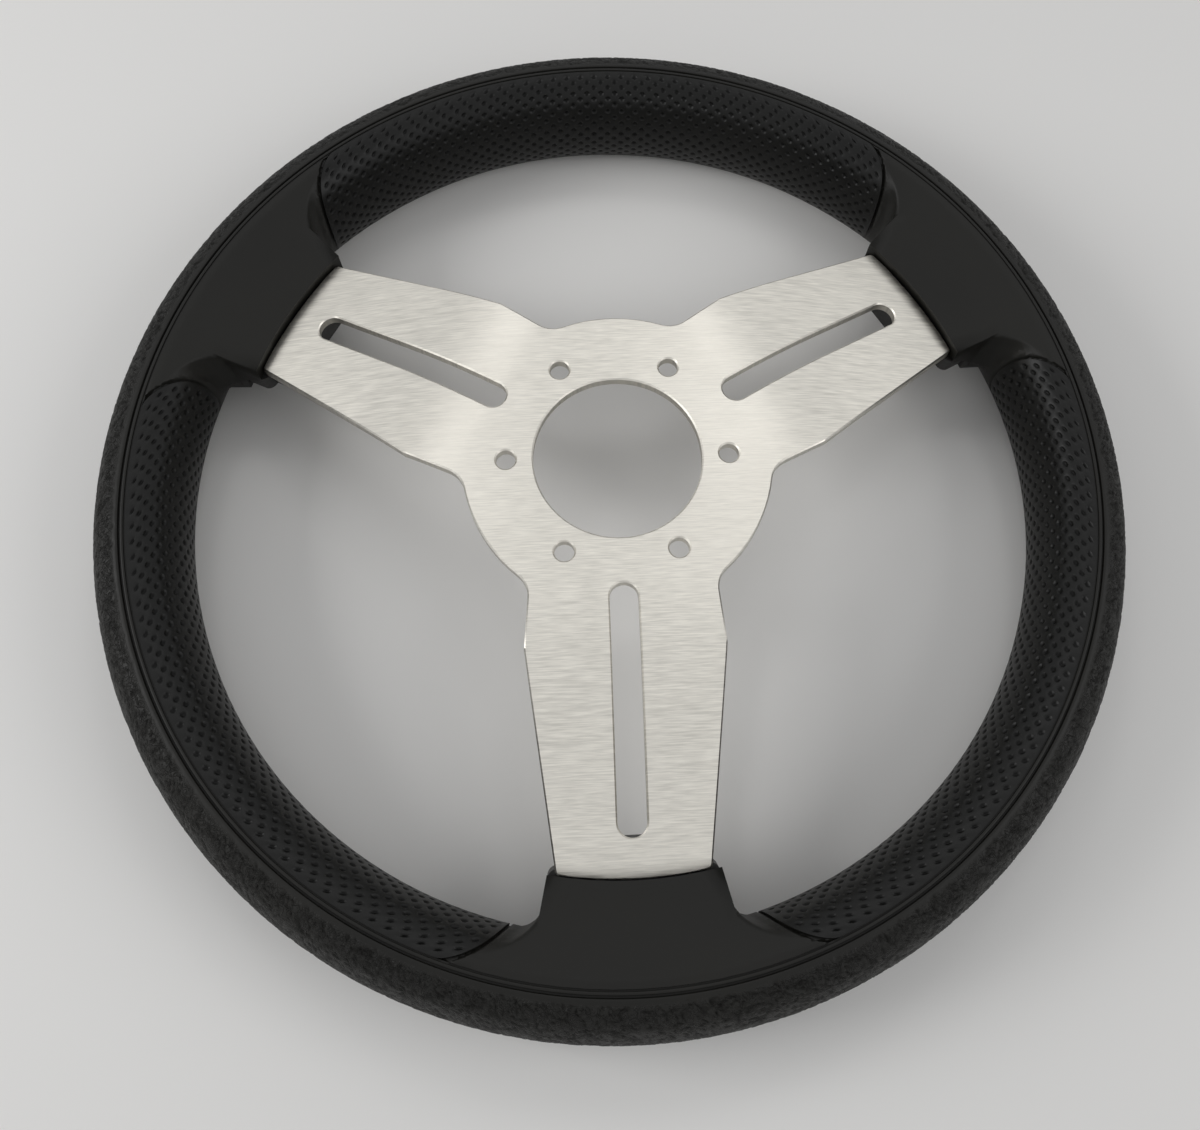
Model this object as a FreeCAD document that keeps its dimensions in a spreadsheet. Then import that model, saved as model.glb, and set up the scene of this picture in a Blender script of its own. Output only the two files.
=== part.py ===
"""Three-spoke boat steering wheel: a bent brushed plate carried by a moulded rim.

Frame: millimetres, +Z up. The origin is the middle of the hub bore on the hub's
upper face. Z is the steering axis, and the front spoke points along -Y.
"""
import FreeCAD, Part
import math
import os

import Sketcher
from FreeCAD import Placement, Rotation, Vector

# Driving dimensions, in millimetres and degrees
SIZES = {
    # rim section: an oval of four tangent arcs
    "wheel_diameter": 352.0,
    "rim_width": 30.0,
    "rim_depth": 46.0,
    "rim_drop": 26.5,
    "rim_end_radius": 12.5,
    # two grooves along the crest with a lip between them, and the grooves that
    # close each grip
    "band_groove_offset": 1.1,
    "band_groove_width": 0.9,
    "band_groove_depth": 1.2,
    "lip_groove_offset": -0.6,
    "lip_groove_width": 0.6,
    "lip_groove_depth": 0.6,
    "end_groove_width": 1.1,
    "end_groove_depth": 0.8,
    "end_groove_drop": 17.5,
    # three places along an end groove: how far inside the rim's middle radius, and
    # how many degrees from the spoke
    "groove_crest_inset": 0.4,
    "groove_crest_angle": 20.6,
    "groove_middle_inset": 4.5,
    "groove_middle_angle": 18.2,
    "groove_inner_inset": 18.0,
    "groove_inner_angle": 14.4,
    # plate, seen from above
    "plate_thickness": 4.0,
    "hub_radius": 51.5,
    "bore_diameter": 56.0,
    "bolt_circle": 74.0,
    "bolt_hole": 6.6,
    "neck_half_width": 30.0,
    "shoulder_distance": 63.0,
    "shoulder_half_width": 31.8,
    "tip_half_angle": 10.5,
    "neck_fillet": 9.0,
    "tip_fillet": 1.6,
    "edge_chamfer": 0.5,
    "slot_width": 9.2,
    "slot_inner": 47.5,
    "slot_margin": 16.3,
    # bend of each spoke, away from the hub's upper face
    "bend_start": 44.0,
    "bend_radius": 160.0,
    "bend_angle": 15.0,
    # pads of the moulding at the spoke ends, from the rim's middle radius to the
    # plate, and the web under each of them, measured below the rim's middle
    "pad_length": 30.5,
    "pad_half_angle": 11.6,
    "pad_gap": 0.5,
    "pad_slope": 20.0,
    "web_setback": 6.5,
    "web_drop": 5.0,
    "web_root_drop": 11.5,
    # flares that carry each pad's sides over to the rim
    "flare_radius": 7.5,
    "flare_crest_radius": 18.0,
    "flare_sink": 0.3,
    "flare_root": 4.0,
    "flare_half_angle": 22.0,
    "flare_edge_radius": 2.0,
    # steel lugs held in the moulding: shoulders wider than the plate's end, and a
    # tongue narrower than it
    "lug_thickness": 6.0,
    "lug_overhang": 2.72,
    "lug_setback": 3.0,
    "lug_root_inset": 9.0,
    "tongue_inset": 0.78,
    "tongue_length": 7.7,
    "lug_corner": 3.0,
    # screws that hold the plate on the lugs, from below
    "screw_diameter": 5.0,
    "screw_hole": 5.5,
    "screw_head_diameter": 9.0,
    "screw_head_height": 2.8,
    "screw_socket": 3.0,
    "screw_socket_depth": 1.6,
    "screw_bite": 3.0,
    "screw_setback": 5.5,
    "screw_spread": 14.0,
}
SPOKES = {"front": 270.0, "right": 30.0, "left": 150.0}
SPOKE_STEP = 360.0 / len(SPOKES)
BOLT_COUNT = 6
TALL = 120.0
# How far a blank runs past what trims it
OVERRUN = 10.0
# Heights of a flare's sections as shares of the way from the rim's middle to its
# crest, and how far each radius has grown from the flare's foot to the crest
FLARE_LEVELS = [(0.283, 0.0), (0.63, 0.2), (0.848, 0.5), (0.991, 1.0)]

doc = FreeCAD.newDocument("SteeringWheel")
sheet = doc.addObject("Spreadsheet::Sheet", "Sizes")
for row, (alias, size) in enumerate(SIZES.items(), start=1):
    sheet.set(f"A{row}", alias.replace("_", " "))
    sheet.set(f"B{row}", str(size))
    sheet.setAlias(f"B{row}", alias)
doc.recompute()


# Expressions worked out from the driving dimensions
def cell(alias):
    return f"Sizes.{alias}"


def value(expression):
    """The number that an expression on the sheet gives now."""
    return float(sheet.evalExpression(str(expression)))


RIM_R = "((Sizes.wheel_diameter - Sizes.rim_width) / 2)"
RIM_Z = "(-Sizes.rim_drop)"
HALF_W = "(Sizes.rim_width / 2)"
RISE = "(Sizes.rim_depth / 2 - Sizes.rim_end_radius)"
SPARE = f"({HALF_W} - Sizes.rim_end_radius)"
SIDE_C = f"(({RISE} ^ 2 - {SPARE} ^ 2) / (2 * {SPARE}))"
SIDE_R = f"({HALF_W} + {SIDE_C})"
REACH = f"({SIDE_R} - Sizes.rim_end_radius)"
TAN_X = f"({SIDE_R} * {SIDE_C} / {REACH} - {SIDE_C})"
TAN_Z = f"({SIDE_R} * {RISE} / {REACH})"

BEND_X = "(Sizes.bend_start + Sizes.bend_radius * sin(Sizes.bend_angle))"
BEND_Z = "(-Sizes.bend_radius * (1 - cos(Sizes.bend_angle)))"
PLATE_END = f"({RIM_R} - Sizes.pad_length)"
TIP_HALF = f"({PLATE_END} * sin(Sizes.tip_half_angle))"
PAD_R = f"({PLATE_END} + Sizes.pad_gap)"
WEB_R = f"({PAD_R} + Sizes.web_setback)"
WEB_Z = f"({RIM_Z} - Sizes.web_drop)"
LUG_STEP = f"({PLATE_END} - Sizes.lug_setback)"


def plate_top(distance):
    """Height of the plate's upper face on a spoke's axis, beyond the bend."""
    return f"({BEND_Z} - ({distance} - {BEND_X}) * tan(Sizes.bend_angle))"


def plate_under(distance):
    """Height of the plate's lower face on a spoke's axis, beyond the bend."""
    return f"({plate_top(distance)} - Sizes.plate_thickness / cos(Sizes.bend_angle))"


def pad_top(distance):
    """Height of a pad's top, the cone tangent to the crest of the rim."""
    crest = f"({RIM_Z} + {RISE} + Sizes.rim_end_radius / cos(Sizes.pad_slope))"
    return f"({crest} - ({RIM_R} - {distance}) * tan(Sizes.pad_slope))"


def rim_inner(height):
    """Radius of the rim's inner face at a height, as a plain number."""
    rise, end_radius = value(RISE), value(cell("rim_end_radius"))
    off = abs(height - value(RIM_Z))
    if off <= value(TAN_Z):
        return value(RIM_R) + value(SIDE_C) - math.sqrt(value(SIDE_R) ** 2 - off ** 2)
    return value(RIM_R) - math.sqrt(end_radius ** 2 - (off - rise) ** 2)


# Helpers for the document's objects
def bind(obj, **expressions):
    for prop, expression in expressions.items():
        obj.setExpression(prop, str(expression))
    return obj


def turned(angle):
    return Placement(Vector(0, 0, 0), Rotation(Vector(0, 0, 1), angle))


def new_body(name, angle=0.0):
    body = doc.addObject("PartDesign::Body", name)
    body.Placement = turned(angle)
    return body


def new_sketch(body, name, role):
    sketch = body.newObject("Sketcher::SketchObject", name)
    plane = next(f for f in body.Origin.OriginFeatures if f.Role == role)
    sketch.AttachmentSupport = [(plane, "")]
    sketch.MapMode = "FlatFace"
    return sketch


def hold(sketch, index, position, direction, expression):
    """Fix one coordinate of a point from the sketch's origin."""
    number = value(expression)
    if abs(number) < 1e-9:
        axis = -2 if direction == "X" else -1
        sketch.addConstraint(Sketcher.Constraint("PointOnObject", index, position, axis))
        return
    kind = "Distance" + direction
    row = sketch.addConstraint(Sketcher.Constraint(kind, -1, 1, index, position, number))
    sketch.setExpression(f"Constraints[{row}]", expression)


def outline(sketch, corners, arcs=None):
    """Closed outline through corners (x, y); arcs gives the centre of an arc
    from corner i to the next one."""
    arcs = arcs or {}
    points = [Vector(value(x), value(y), 0) for x, y in corners]
    ends = []
    for i, start in enumerate(points):
        stop = points[(i + 1) % len(points)]
        if i not in arcs:
            index = sketch.addGeometry(Part.LineSegment(start, stop))
            ends.append((index, 1, 2))
            continue
        centre = Vector(value(arcs[i][0]), value(arcs[i][1]), 0)
        first = math.atan2(start.y - centre.y, start.x - centre.x)
        last = math.atan2(stop.y - centre.y, stop.x - centre.x)
        forward = (last - first) % (2 * math.pi) < math.pi
        if not forward:
            first, last = last, first
        circle = Part.Circle(centre, Vector(0, 0, 1), (start - centre).Length)
        index = sketch.addGeometry(Part.ArcOfCircle(circle, first, last))
        ends.append((index, 1, 2) if forward else (index, 2, 1))
        flat = abs(stop.x - start.x) > abs(stop.y - start.y)
        hold(sketch, index, 3, "Y" if flat else "X", arcs[i][1] if flat else arcs[i][0])
    for i, (index, head, tail) in enumerate(ends):
        after = ends[(i + 1) % len(ends)]
        sketch.addConstraint(Sketcher.Constraint("Coincident", index, tail, after[0], after[1]))
        hold(sketch, index, head, "X", corners[i][0])
        hold(sketch, index, head, "Y", corners[i][1])


def pad(body, sketch, length, name):
    feature = body.newObject("PartDesign::Pad", name)
    feature.Profile = sketch
    feature.Midplane = True
    bind(feature, Length=length)
    doc.recompute()
    return feature


def revolve(body, sketch, angle, name):
    feature = body.newObject("PartDesign::Revolution", name)
    feature.Profile = sketch
    feature.ReferenceAxis = (sketch, ["V_Axis"])
    feature.Midplane = True
    bind(feature, Angle=angle)
    doc.recompute()


def upright_edges(shape, corner, tolerance=0.05):
    """Names of a prism's upright edges at a corner (x, y) and at its mirror image."""
    found = []
    for i, edge in enumerate(shape.Edges, start=1):
        points = [v.Point for v in edge.Vertexes]
        if len(points) != 2 or abs(points[0].z - points[1].z) < 1.0:
            continue
        if all(math.hypot(p.x - corner[0], abs(p.y) - corner[1]) < tolerance for p in points):
            found.append(f"Edge{i}")
    return found


def round_corners(body, base, corner, radius, name):
    feature = body.newObject("PartDesign::Fillet", name)
    place = (value(corner[0]), abs(value(corner[1])))
    feature.Base = (base, upright_edges(base.Shape, place))
    bind(feature, Radius=radius)
    doc.recompute()
    return feature


def part_object(kind, name, **properties):
    obj = doc.addObject(kind, name)
    for prop, content in properties.items():
        setattr(obj, prop, content)
    return obj


def cylinder(name, radius, height, x="0", y="0", z="0", frame=None):
    """Upright cylinder on its foot at x, y, z, within an optional frame."""
    obj = bind(doc.addObject("Part::Cylinder", name), Radius=radius, Height=height)
    foot = Placement(Vector(value(x), value(y), value(z)), Rotation())
    obj.Placement = (frame or Placement()).multiply(foot)
    return obj


def spoke_slope(angle):
    """Frame on the plate's upper face beyond the bend, X down the slope."""
    slope = Placement(Vector(value(BEND_X), 0, value(BEND_Z)),
                      Rotation(Vector(0, 1, 0), value(cell("bend_angle"))))
    return turned(angle).multiply(slope)


def along(distance):
    """Distance down the slope of a point at a distance from the axis."""
    return f"(({distance} - {BEND_X}) / cos(Sizes.bend_angle))"


# Spoke plate: a blank with three arms, bent down beyond the hub
def arm_slab(side, angle):
    """The bent sheet of one spoke, wider than the hub."""
    end_x = f"({PLATE_END} + {OVERRUN})"
    thick = cell("plate_thickness")
    body = new_body(f"bent_sheet_{side}", angle)
    corners = [
        ("0", "0"),
        (cell("bend_start"), "0"),
        (BEND_X, BEND_Z),
        (end_x, plate_top(end_x)),
        (end_x, plate_under(end_x)),
        (f"({BEND_X} - {thick} * sin(Sizes.bend_angle))",
         f"({BEND_Z} - {thick} * cos(Sizes.bend_angle))"),
        (cell("bend_start"), f"(-{thick})"),
        ("0", f"(-{thick})"),
    ]
    centre = (cell("bend_start"), "(-Sizes.bend_radius)")
    sketch = new_sketch(body, f"bend_profile_{side}", "XZ_Plane")
    outline(sketch, corners, {1: centre, 5: centre})
    pad(body, sketch, "2 * Sizes.hub_radius", f"sheet_{side}")
    return body


def arm_plan(side, angle):
    """Plan of a third of the plate: its share of the hub, and one arm."""
    hub, neck = cell("hub_radius"), cell("neck_half_width")
    half = SPOKE_STEP / 2
    right = [
        (f"({hub} * cos({half}))", f"(-{hub} * sin({half}))"),
        (f"sqrt({hub} ^ 2 - {neck} ^ 2)", f"(-{neck})"),
        (cell("shoulder_distance"), "(-Sizes.shoulder_half_width)"),
        (f"({PLATE_END} * cos(Sizes.tip_half_angle))", f"(-{TIP_HALF})"),
    ]
    left = [(x, f"(-{y})") for x, y in reversed(right)]
    body = new_body(f"arm_plan_{side}", angle)
    sketch = new_sketch(body, f"arm_outline_{side}", "XY_Plane")
    origin = ("0", "0")
    outline(sketch, [origin] + right + left, {1: origin, 4: origin, 7: origin})
    blank = pad(body, sketch, TALL, f"arm_blank_{side}")
    blank = round_corners(body, blank, right[1], cell("neck_fillet"), f"neck_{side}")
    round_corners(body, blank, right[3], cell("tip_fillet"), f"tip_{side}")
    return body


def slot_prism(side, angle):
    """Lengthwise slot of one spoke."""
    half = "(Sizes.slot_width / 2)"
    inner, outer = cell("slot_inner"), f"({PLATE_END} - Sizes.slot_margin)"
    body = new_body(f"slot_{side}", angle)
    sketch = new_sketch(body, f"slot_outline_{side}", "XY_Plane")
    corners = [
        (inner, half), (f"({inner} - {half})", "0"), (inner, f"(-{half})"),
        (outer, f"(-{half})"), (f"({outer} + {half})", "0"), (outer, half),
    ]
    ends = {0: (inner, "0"), 1: (inner, "0"), 3: (outer, "0"), 4: (outer, "0")}
    outline(sketch, corners, ends)
    pad(body, sketch, TALL, f"slot_depth_{side}")
    return body


def is_upper_edge(shape, edge):
    """True for an edge between the sheet's upper face and one of its cut edges."""
    faces = shape.ancestorsOfType(edge, Part.Face)
    if len(faces) != 2:
        return False
    middle = edge.valueAt((edge.FirstParameter + edge.LastParameter) / 2)
    tilts = []
    for face in faces:
        u, v = face.Surface.parameter(middle)
        tilts.append(face.normalAt(u, v).z)
    return max(tilts) > 0.9 and min(abs(tilt) for tilt in tilts) < 0.3


def build_plate():
    arms = []
    cuts = []
    for side, angle in SPOKES.items():
        arm = part_object("Part::MultiCommon", f"arm_{side}",
                          Shapes=[arm_slab(side, angle), arm_plan(side, angle)])
        arms.append(arm)
        cuts.append(slot_prism(side, angle))
    blank = part_object("Part::MultiFuse", "plate_blank", Shapes=arms, Refine=True)
    low = f"(-{TALL} / 2)"
    cuts.append(cylinder("hub_bore", "Sizes.bore_diameter / 2", TALL, z=low))
    for i in range(BOLT_COUNT):
        frame = turned(i * 360.0 / BOLT_COUNT)
        cuts.append(cylinder(f"bolt_hole_{i + 1}", "Sizes.bolt_hole / 2", TALL,
                             x="Sizes.bolt_circle / 2", z=low, frame=frame))
    for side, angle in SPOKES.items():
        cuts += screw_cylinders(f"tapped_hole_{side}", angle, "Sizes.screw_diameter / 2",
                                "(2 * Sizes.screw_bite)", "(-Sizes.plate_thickness - Sizes.screw_bite)")
    tools = part_object("Part::MultiFuse", "plate_holes", Shapes=cuts)
    cut = part_object("Part::Cut", "plate_cut", Base=blank, Tool=tools)
    doc.recompute()
    plate = part_object("Part::Chamfer", "spoke_plate", Base=cut)
    width = value(cell("edge_chamfer"))
    plate.Edges = [(i, width, width) for i, edge in enumerate(cut.Shape.Edges, start=1)
                   if is_upper_edge(cut.Shape, edge)]
    return plate


def screw_cylinders(name, angle, radius, height, foot):
    """A pair of cylinders square to the slope, where the screws sit."""
    pair = []
    place = along(f"({PLATE_END} - Sizes.screw_setback)")
    for number, sign in enumerate((-1, 1), start=1):
        pair.append(cylinder(f"{name}_{number}", radius, height, x=place,
                             y=f"({sign} * Sizes.screw_spread)", z=foot, frame=spoke_slope(angle)))
    return pair


# Lugs: flat steel tabs that follow the plate's slope out of the moulding
def build_lug(side, angle):
    body = doc.addObject("PartDesign::Body", f"lug_blank_{side}")
    middle = -value("Sizes.plate_thickness + Sizes.lug_thickness / 2")
    body.Placement = spoke_slope(angle).multiply(Placement(Vector(0, 0, middle), Rotation()))
    sketch = new_sketch(body, f"lug_outline_{side}", "XY_Plane")
    wide, narrow = f"({TIP_HALF} + Sizes.lug_overhang)", f"({TIP_HALF} - Sizes.tongue_inset)"
    tip, step = along(f"({LUG_STEP} - Sizes.tongue_length)"), along(LUG_STEP)
    root = along(f"({RIM_R} - Sizes.lug_root_inset)")
    right = [(tip, f"(-{narrow})"), (step, f"(-{narrow})"), (step, f"(-{wide})"), (root, f"(-{wide})")]
    left = [(x, f"(-{y})") for x, y in reversed(right)]
    outline(sketch, right + left)
    blank = pad(body, sketch, cell("lug_thickness"), f"lug_sheet_{side}")
    for corner, place in (("tongue", (tip, narrow)), ("step", (step, wide)), ("root", (root, wide))):
        blank = round_corners(body, blank, place, cell("lug_corner"), f"{corner}_corner_{side}")
    holes = screw_cylinders(f"lug_hole_{side}", angle, "Sizes.screw_hole / 2",
                            "(3 * Sizes.lug_thickness)", "(-Sizes.plate_thickness - 2 * Sizes.lug_thickness)")
    tools = part_object("Part::MultiFuse", f"lug_holes_{side}", Shapes=holes)
    return part_object("Part::Cut", f"spoke_lug_{side}", Base=body, Tool=tools)


# Screws: low socket heads under the lugs
def build_screws():
    screws = []
    for side, angle in SPOKES.items():
        under = "(-Sizes.plate_thickness - Sizes.lug_thickness)"
        heads = screw_cylinders(f"head_{side}", angle, "Sizes.screw_head_diameter / 2",
                                "Sizes.screw_head_height", f"({under} - Sizes.screw_head_height)")
        shanks = screw_cylinders(f"shank_{side}", angle, "Sizes.screw_diameter / 2",
                                 "(Sizes.lug_thickness + Sizes.screw_bite)", under)
        for number, (head, shank) in enumerate(zip(heads, shanks), start=1):
            socket = part_object("Part::Prism", f"socket_{side}_{number}", Polygon=6)
            bind(socket, Circumradius="Sizes.screw_socket / (2 * cos(30))", Height="Sizes.screw_socket_depth")
            socket.Placement = head.Placement
            whole = part_object("Part::MultiFuse", f"screw_blank_{side}_{number}", Shapes=[head, shank])
            screws.append(part_object("Part::Cut", f"screw_{side}_{number}", Base=whole, Tool=socket))
    return part_object("Part::Compound", "plate_screws", Links=screws)


# Rim moulding: oval ring, pads at the spoke ends, flares beside them
def oval_corners():
    """Corners and arc centres of the rim's oval section."""
    low, high = f"({RIM_Z} - {TAN_Z})", f"({RIM_Z} + {TAN_Z})"
    near, far = f"({RIM_R} - {TAN_X})", f"({RIM_R} + {TAN_X})"
    crest = (RIM_R, f"({RIM_Z} + {RISE})")
    base = (RIM_R, f"({RIM_Z} - {RISE})")
    inner = (f"({RIM_R} + {SIDE_C})", RIM_Z)
    outer = (f"({RIM_R} - {SIDE_C})", RIM_Z)
    return near, far, low, high, crest, base, inner, outer


def ring():
    """The rim all the way round."""
    near, far, low, high, crest, base, inner, outer = oval_corners()
    body = new_body("ring")
    sketch = new_sketch(body, "ring_section", "XZ_Plane")
    corners = [(far, high), (near, high), (near, low), (far, low)]
    outline(sketch, corners, {0: crest, 1: inner, 2: base, 3: outer})
    revolve(body, sketch, "360", "ring_sweep")
    return body


def pad_sweep(side, angle):
    """The moulded section of a pad and of the rim behind it, swept past its flares."""
    near, far, low, high, crest, base, inner, outer = oval_corners()
    body = new_body(f"pad_body_{side}", angle)
    sketch = new_sketch(body, f"pad_section_{side}", "XZ_Plane")
    step_z = f"({plate_under(PAD_R)} - Sizes.lug_thickness / 2)"
    root_z = f"({RIM_Z} - Sizes.web_root_drop)"
    root_r = f"({RIM_R} + {SIDE_C} - sqrt({SIDE_R} ^ 2 - ({root_z} - {RIM_Z}) ^ 2))"
    touch = (f"({RIM_R} - Sizes.rim_end_radius * sin(Sizes.pad_slope))",
             f"({crest[1]} + Sizes.rim_end_radius * cos(Sizes.pad_slope))")
    corners = [
        (far, high), touch, (PAD_R, pad_top(PAD_R)), (PAD_R, step_z),
        (WEB_R, step_z), (WEB_R, WEB_Z),
        (root_r, root_z), (near, low), (far, low),
    ]
    outline(sketch, corners, {0: crest, 6: inner, 7: base, 8: outer})
    revolve(body, sketch, "2 * Sizes.flare_half_angle", f"pad_sweep_{side}")
    return body


def pad_plan(side, angle):
    """Prism over the width of a pad, between its two straight sides."""
    body = new_body(f"pad_plan_{side}", angle)
    sketch = new_sketch(body, f"pad_outline_{side}", "XY_Plane")
    near, far = f"({PAD_R} - {OVERRUN})", f"(Sizes.wheel_diameter / 2 + {OVERRUN})"
    cosine, sine = "cos(Sizes.pad_half_angle)", "sin(Sizes.pad_half_angle)"
    right = [(f"({near} * {cosine})", f"(-{near} * {sine})"), (f"({far} * {cosine})", f"(-{far} * {sine})")]
    left = [(x, f"(-{y})") for x, y in reversed(right)]
    outline(sketch, right + left)
    pad(body, sketch, TALL, f"pad_width_{side}")
    return body


def flare_section(height, growth, sign):
    """Level section of a flare: a concave arc from the pad's side to the rim."""
    foot, crest = value(cell("flare_radius")), value(cell("flare_crest_radius"))
    radius = foot + growth * (crest - foot)
    sink = value(cell("flare_sink"))
    rim = rim_inner(height) + sink
    side = math.radians(value(cell("pad_half_angle"))) - sink / rim
    swing = math.asin(radius / (rim - radius))
    root = rim + value(cell("flare_root"))

    def point(distance, angle):
        return Vector(distance * math.cos(angle), sign * distance * math.sin(angle), height)

    start = point((rim - radius) * math.cos(swing), side)
    stop = point(rim, side + swing)
    centre = point(rim - radius, side + swing)
    middle = centre + ((start + stop) * 0.5 - centre).normalize() * radius
    outer = point(root, side + swing)
    inner = point(root, side - swing / 4)
    edges = [
        Part.Arc(start, middle, stop),
        Part.LineSegment(stop, outer),
        Part.LineSegment(outer, inner),
        Part.LineSegment(inner, start),
    ]
    return Part.Wire([edge.toShape() for edge in edges])


def flare(side, angle, sign):
    """Loft that blends one side of a pad into the rim, with a prism over it."""
    half_depth = value("(Sizes.rim_depth / 2)")
    levels = [(value(WEB_Z), 0.0)]
    levels += [(value(RIM_Z) + share * half_depth, growth) for share, growth in FLARE_LEVELS]
    wires = [flare_section(height, growth, sign) for height, growth in levels]
    over = Part.Face(wires[-1]).extrude(Vector(0, 0, -levels[-1][0]))
    obj = doc.addObject("Part::Feature", f"flare_{side}_{'left' if sign > 0 else 'right'}")
    obj.Shape = Part.makeLoft(wires, True, False).fuse(over)
    obj.Placement = turned(angle)
    return obj


def is_ridge(shape, edge):
    """True for the long edge between a pad's conical top and a flare's lofted wall."""
    kinds = {type(face.Surface) for face in shape.ancestorsOfType(edge, Part.Face)}
    return kinds == {Part.Cone, Part.BSplineSurface} and edge.Length > value(cell("flare_edge_radius"))


def flared_pad(side, angle):
    """A pad between its two flares, with the flares' top edges rounded."""
    hulls = [pad_plan(side, angle)] + [flare(side, angle, sign) for sign in (-1, 1)]
    hull = part_object("Part::MultiFuse", f"pad_hull_{side}", Shapes=hulls)
    sharp = part_object("Part::MultiCommon", f"sharp_pad_{side}", Shapes=[pad_sweep(side, angle), hull])
    doc.recompute()
    radius = value(cell("flare_edge_radius"))
    pad_piece = part_object("Part::Fillet", f"pad_{side}", Base=sharp)
    pad_piece.Edges = [(i, radius, radius) for i, edge in enumerate(sharp.Shape.Edges, start=1)
                       if is_ridge(sharp.Shape, edge)]
    return pad_piece


def crest_groove(name):
    """Ring cut along the crest, on one side of the lip."""
    body = new_body(name)
    sketch = new_sketch(body, f"{name}_section", "XZ_Plane")
    middle = f"({RIM_R} + Sizes.{name}_offset)"
    near, far = f"({middle} - Sizes.{name}_width / 2)", f"({middle} + Sizes.{name}_width / 2)"
    crest = f"({RIM_Z} + Sizes.rim_depth / 2)"
    floor, roof = f"({crest} - Sizes.{name}_depth)", f"({crest} + Sizes.{name}_depth)"
    outline(sketch, [(near, floor), (far, floor), (far, roof), (near, roof)])
    revolve(body, sketch, "360", f"{name}_sweep")
    return body


def end_groove(name, blank, angle, sign):
    """Shallow groove of even depth that closes a grip beside a pad."""
    points = []
    for place in ("crest", "middle", "inner"):
        distance = value(f"({RIM_R} - Sizes.groove_{place}_inset)")
        turn = math.radians(sign * value(cell(f"groove_{place}_angle")))
        points.append(Vector(distance * math.cos(turn), distance * math.sin(turn), 0))
    centre = Part.Arc(*points).toShape().Curve.Center
    half = value(cell("end_groove_width")) / 2
    lines = []
    for offset in (-half, half):
        moved = [centre + (p - centre).normalize() * ((p - centre).Length + offset) for p in points]
        lines.append(moved)
    near, far = lines
    plan = Part.Wire([
        Part.Arc(*near).toShape(),
        Part.LineSegment(near[2], far[2]).toShape(),
        Part.Arc(far[2], far[1], far[0]).toShape(),
        Part.LineSegment(far[0], near[0]).toShape(),
    ])
    depth = value(cell("end_groove_depth"))
    floor = value(f"({RIM_Z} - Sizes.end_groove_drop)")
    strip = Part.Face(plan).extrude(Vector(0, 0, -floor))
    strip.translate(Vector(0, 0, floor))
    strip.Placement = turned(angle).multiply(strip.Placement)
    skin = blank.Shape.copy()
    skin.translate(turned(angle).multVec(Vector(depth, 0, -depth)))
    obj = doc.addObject("Part::Feature", name)
    obj.Shape = strip.cut(skin)
    return obj


def build_moulding(lugs):
    pads = [flared_pad(side, angle) for side, angle in SPOKES.items()]
    blank = part_object("Part::MultiFuse", "moulding_blank", Shapes=[ring()] + pads, Refine=True)
    doc.recompute()
    hollows = [crest_groove("band_groove"), crest_groove("lip_groove")] + lugs
    for side, angle in SPOKES.items():
        hollows += [end_groove(f"end_groove_{side}_{'left' if sign > 0 else 'right'}", blank, angle, sign)
                    for sign in (-1, 1)]
    tools = part_object("Part::MultiFuse", "moulding_hollows", Shapes=hollows)
    return part_object("Part::Cut", "rim_moulding", Base=blank, Tool=tools)


# Checks of the document, and the written parts
def check(nodes):
    for obj in doc.Objects:
        if "Invalid" in obj.State or "Error" in obj.State:
            raise RuntimeError(f"{obj.Label} did not compute: {obj.State}")
    for obj in nodes:
        if obj.Shape.isNull() or not obj.Shape.isValid():
            raise RuntimeError(f"{obj.Label} has no valid shape")


def main():
    lugs = [build_lug(side, angle) for side, angle in SPOKES.items()]
    nodes = [build_plate(), build_moulding(lugs), build_screws()] + lugs
    doc.recompute()
    check(nodes)
    os.makedirs("parts", exist_ok=True)
    for obj in nodes:
        obj.Shape.exportStep(f"parts/{obj.Label}.step")
        print(obj.Label, round(obj.Shape.Volume, 1), len(obj.Shape.Solids), len(obj.Shape.Faces))


main()
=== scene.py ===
"""Studio scene of a three-spoke boat steering wheel: brushed plate, grained and dimpled rim."""
import math

import bmesh
import bpy
from bpy.props import FloatProperty, FloatVectorProperty, IntProperty, PointerProperty
from mathutils import Matrix, Vector, noise


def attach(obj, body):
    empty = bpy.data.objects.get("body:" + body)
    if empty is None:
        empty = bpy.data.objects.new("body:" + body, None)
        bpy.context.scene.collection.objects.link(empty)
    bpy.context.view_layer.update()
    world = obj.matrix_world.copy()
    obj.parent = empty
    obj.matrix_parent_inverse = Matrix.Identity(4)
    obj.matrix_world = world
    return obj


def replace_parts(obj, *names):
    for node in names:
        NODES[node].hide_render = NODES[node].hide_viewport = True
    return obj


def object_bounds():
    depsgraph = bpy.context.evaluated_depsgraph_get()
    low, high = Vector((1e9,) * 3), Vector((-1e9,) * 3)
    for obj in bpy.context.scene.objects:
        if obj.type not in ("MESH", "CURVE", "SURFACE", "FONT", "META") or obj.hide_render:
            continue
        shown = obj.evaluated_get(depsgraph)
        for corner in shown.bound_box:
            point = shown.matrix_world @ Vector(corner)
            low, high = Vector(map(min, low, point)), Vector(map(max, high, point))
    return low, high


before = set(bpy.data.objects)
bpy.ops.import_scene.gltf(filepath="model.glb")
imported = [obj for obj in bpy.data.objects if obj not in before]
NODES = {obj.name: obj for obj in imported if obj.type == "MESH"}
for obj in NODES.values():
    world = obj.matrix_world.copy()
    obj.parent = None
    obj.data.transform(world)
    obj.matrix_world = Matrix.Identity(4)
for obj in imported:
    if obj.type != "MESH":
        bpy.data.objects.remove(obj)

CAD_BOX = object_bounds()
MM = 0.001

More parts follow.
